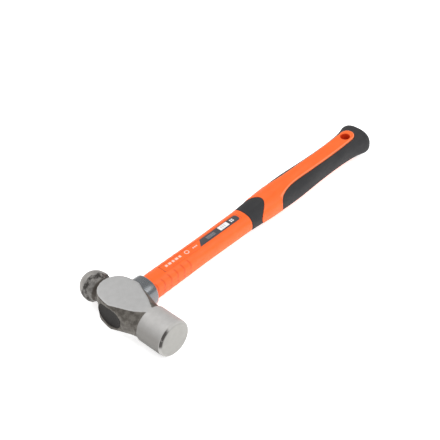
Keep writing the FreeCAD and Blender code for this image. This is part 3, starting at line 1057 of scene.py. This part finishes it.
def orange_finish():
    """Satin orange plastic, with a row of plain printed bars and a ring in the upper panel."""
    material, tree, shader, spot = new_material("satin_orange_plastic")
    x, y, z = add(tree, "ShaderNodeSeparateXYZ", [spot]).outputs
    grain = use(tree, GRAIN, {"Vector": spot, "Fine": 2.4, "Depth": 0.22})
    smudge = use(tree, SMUDGE, {"Vector": spot, "Amount": 0.35})["Mask"]
    plain = mix(tree, grain["Cloud"], ORANGE["deep"], ORANGE["bright"])
    plain = mix(tree, smudge, plain, ORANGE["smudge"])
    side = maths(tree, "ABSOLUTE", y)
    depth = maths(tree, "ABSOLUTE", z)

    # shade along the panel's rim and its front step
    middle_x = (PANEL_X[0] + PANEL_X[1]) / 2
    over_y = minus(tree, side, PANEL_HALF)
    over_x = minus(tree, maths(tree, "ABSOLUTE", minus(tree, x, middle_x)), PANEL_X[1] - middle_x)
    rim = maths(tree, "ABSOLUTE", maths(tree, "MAXIMUM", over_y, over_x))
    rim = minus(tree, 1.0, step_mask(tree, rim, 0.1, 0.7))
    plain = mix(tree, times(tree, rim, 0.5), plain, ORANGE["shade"])
    step_across = minus(tree, 1.0, step_mask(tree, side, PANEL_HALF, PANEL_HALF + 0.5))
    step_line = times(tree, between(tree, x, PANEL_X[0] - 0.1, PANEL_X[0] + 0.5, 0.6), step_across)
    plain = mix(tree, times(tree, step_line, 0.7), plain, ORANGE["panel step"])

    # shade behind each rib, on the same bowed line
    height = maths(tree, "DIVIDE", maths(tree, "ABSOLUTE", minus(tree, depth, RIB_Z)), RIB_HALF)
    behind_rib = maths(tree, "ADD", x, times(tree, height, height, RIB_BOW))
    pitch = RIBS_X[1] - RIBS_X[0]
    turns = maths(tree, "DIVIDE", minus(tree, behind_rib, RIBS_X[0] + 1.3 - pitch / 2), pitch)
    off_line = maths(tree, "ABSOLUTE", minus(tree, maths(tree, "FRACT", turns), 0.5))
    groove = minus(tree, 1.0, step_mask(tree, times(tree, off_line, pitch), 0.2, 1.7))
    groove = times(
        tree, groove,
        minus(tree, 1.0, step_mask(tree, height, 0.7, 1.0)),
        minus(tree, 1.0, step_mask(tree, x, RIBS_X[-1] + 4.0, RIBS_X[-1] + 5.0)),
        step_mask(tree, side, 5.0, 7.0),
    )
    plain = mix(tree, times(tree, groove, 0.6), plain, ORANGE["shade"])

    # a pale painted highlight along the rounded lip just inside the edge of the bare strip
    funnel = maths(tree, "DIVIDE", minus(tree, STRIP_X, x), STRIP_X - GRIP_X)
    funnel = maths(tree, "MINIMUM", maths(tree, "MAXIMUM", funnel, 0.0), 1.0)
    slope = maths(tree, "SQRT", minus(tree, 1.0, times(tree, funnel, funnel)))
    half = minus(tree, GRIP_SIDE_HALF, times(tree, slope, GRIP_SIDE_HALF - STRIP_HALF))
    past_end = maths(tree, "MAXIMUM", minus(tree, x, STRIP_END_X), 0.0)
    inside_edge = times(tree, minus(tree, half, distance_from(tree, past_end, side)), slope)
    lip_highlight = times(tree, between(tree, inside_edge, 0.15, 0.75, 0.35), step_mask(tree, x, GRIP_X, GRIP_X + 4))
    plain = mix(tree, times(tree, lip_highlight, 0.3), plain, ORANGE["lip_highlight"])

    # painted shade on the walls of the hanging hole
    hole_away = distance_from(tree, minus(tree, x, HOLE_X), y)
    hole_shade = minus(tree, 1.0, step_mask(tree, hole_away, HOLE_RADIUS, HOLE_RADIUS + 0.5))
    plain = mix(tree, hole_shade, plain, ORANGE["hole"])

    ring_away = distance_from(tree, minus(tree, x, PRINT_RING[0]), minus(tree, y, PRINT_RING[1]))
    off_ring = maths(tree, "ABSOLUTE", minus(tree, ring_away, PRINT_RING_RADIUS))
    ring = times(
        tree, minus(tree, 1.0, step_mask(tree, off_ring, 0.25, 0.55)), step_mask(tree, z, 1.0, 2.0)
    )
    print_mask = most(tree, [printed_blocks(tree, spot, PRINT_BARS), ring])
    worn_print = maths(tree, "MULTIPLY_ADD", grain["Speckle"], 0.5, 0.4)
    print_mask = times(tree, print_mask, worn_print)
    wire(tree, mix(tree, print_mask, plain, ORANGE["print"]), shader.inputs["Base Color"])
    wire(tree, maths(tree, "MULTIPLY_ADD", grain["Speckle"], 0.14, 0.38), shader.inputs["Roughness"])
    wire(tree, grain["Normal"], shader.inputs["Normal"])
    shader.inputs["Specular IOR Level"].default_value = 0.35
    return material


def soft_grip_finish():
    """Matt black elastomer with a very fine stipple and pale handling smudges."""
    material, tree, shader, spot = new_material("soft_touch_black")
    grain = use(tree, GRAIN, {"Vector": spot, "Fine": 3.4, "Depth": 0.6})
    smudge = use(tree, SMUDGE, {"Vector": spot, "Amount": 0.5})["Mask"]
    plain = mix(tree, grain["Cloud"], (0.020, 0.020, 0.022, 1), (0.032, 0.032, 0.034, 1))
    wire(tree, mix(tree, smudge, plain, (0.048, 0.047, 0.046, 1)), shader.inputs["Base Color"])
    wire(tree, maths(tree, "MULTIPLY_ADD", grain["Speckle"], 0.2, 0.62), shader.inputs["Roughness"])
    wire(tree, grain["Normal"], shader.inputs["Normal"])
    shader.inputs["Specular IOR Level"].default_value = 0.35
    return material


def label_finish():
    """Dark printed film: a grey block of fine lines, a white block with dark marks, four squares."""
    material, tree, shader, spot = new_material("printed_label_film")
    grain = use(tree, GRAIN, {"Vector": spot, "Fine": 2.0, "Depth": 0.1})
    plain = mix(tree, grain["Cloud"], (0.045, 0.043, 0.050, 1), (0.065, 0.062, 0.070, 1))
    lines = printed_blocks(tree, spot, LABEL_LINES)
    colour = mix(tree, times(tree, lines, 0.55), plain, (0.35, 0.35, 0.38, 1))
    white = printed_blocks(tree, spot, LABEL_WHITE)
    squares = printed_blocks(tree, spot, LABEL_SQUARES)
    colour = mix(tree, most(tree, [white, squares]), colour, (0.85, 0.85, 0.85, 1))
    marks = printed_blocks(tree, spot, LABEL_MARKS)
    colour = mix(tree, times(tree, marks, 0.6), colour, (0.25, 0.25, 0.26, 1))
    wire(tree, colour, shader.inputs["Base Color"])
    wire(tree, maths(tree, "MULTIPLY_ADD", grain["Speckle"], 0.1, 0.28), shader.inputs["Roughness"])
    wire(tree, grain["Normal"], shader.inputs["Normal"])
    return material


def paint(piece, material):
    piece.data.materials.clear()
    piece.data.materials.append(material)


# ---------------------------------------------------------------- studio

def studio_floor():
    bpy.ops.object.select_all(action="DESELECT")
    bpy.ops.mesh.primitive_plane_add(size=8, location=(0, 0, 0))
    floor = bpy.context.object
    floor.name = "studio_floor"
    material = bpy.data.materials.new("pale_floor")
    material.use_nodes = True
    tree = material.node_tree
    shader = tree.nodes["Principled BSDF"]
    coordinates = tree.nodes.new("ShaderNodeTexCoord")
    cloud = clouds(tree, coordinates.outputs["Object"], 1.5, detail=2.0)
    colour = mix(tree, cloud, (0.93, 0.93, 0.93, 1), (0.95, 0.95, 0.95, 1))
    wire(tree, colour, shader.inputs["Base Color"])
    shader.inputs["Roughness"].default_value = 0.9
    shader.inputs["Specular IOR Level"].default_value = 0.1
    shader.inputs["Emission Color"].default_value = (1, 1, 1, 1)
    shader.inputs["Emission Strength"].default_value = 0.6
    paint(floor, material)


def soft_light(name, spot, aim, size, power):
    bpy.ops.object.light_add(type="AREA", location=spot)
    lamp = bpy.context.object
    lamp.name = name
    lamp.data.shape = "SQUARE"
    lamp.data.size = size
    lamp.data.energy = power
    lamp.rotation_euler = (Vector(aim) - Vector(spot)).to_track_quat("-Z", "Y").to_euler()


def studio_lights():
    world = bpy.data.worlds.new("pale_studio")
    bpy.context.scene.world = world
    world.use_nodes = True
    world.node_tree.nodes["Background"].inputs[0].default_value = (1, 1, 1, 1)
    world.node_tree.nodes["Background"].inputs[1].default_value = 0.6
    middle = at(130, 0, 0)
    soft_light("key", middle + Vector((0.2, -0.9, 1.3)), middle, 1.2, 14)
    soft_light("back", middle + Vector((-0.2, 1.2, 1.2)), middle, 1.4, 10)


def studio_camera():
    """Looks down on the hammer from the face's side, with a long lens."""
    spot = at(*CAMERA_SPOT)
    aim = at(*CAMERA_AIM)
    bpy.ops.object.camera_add(location=spot)
    camera = bpy.context.object
    camera.name = "studio_camera"
    camera.rotation_euler = (aim - spot).to_track_quat("-Z", "Y").to_euler()
    camera.rotation_euler.rotate_axis("Z", math.radians(CAMERA_ROLL))
    camera.data.sensor_width = 36
    camera.data.lens = CAMERA_LENS
    camera.data.clip_end = 20
    bpy.context.scene.camera = camera


studio_floor()
studio_lights()
studio_camera()

paint(forged_head(), steel_finish())
paint(poured_resin(), resin_finish())
paint(collar_ring(), collar_finish())
jacket, band, grip = handle_pieces()
paint(jacket, orange_finish())
soft_black = soft_grip_finish()
paint(band, soft_black)
paint(grip, soft_black)
paint(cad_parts["fibreglass_rod"], rod_finish())
paint(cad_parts["label"], label_finish())

bpy.context.scene.view_settings.view_transform = "Standard"
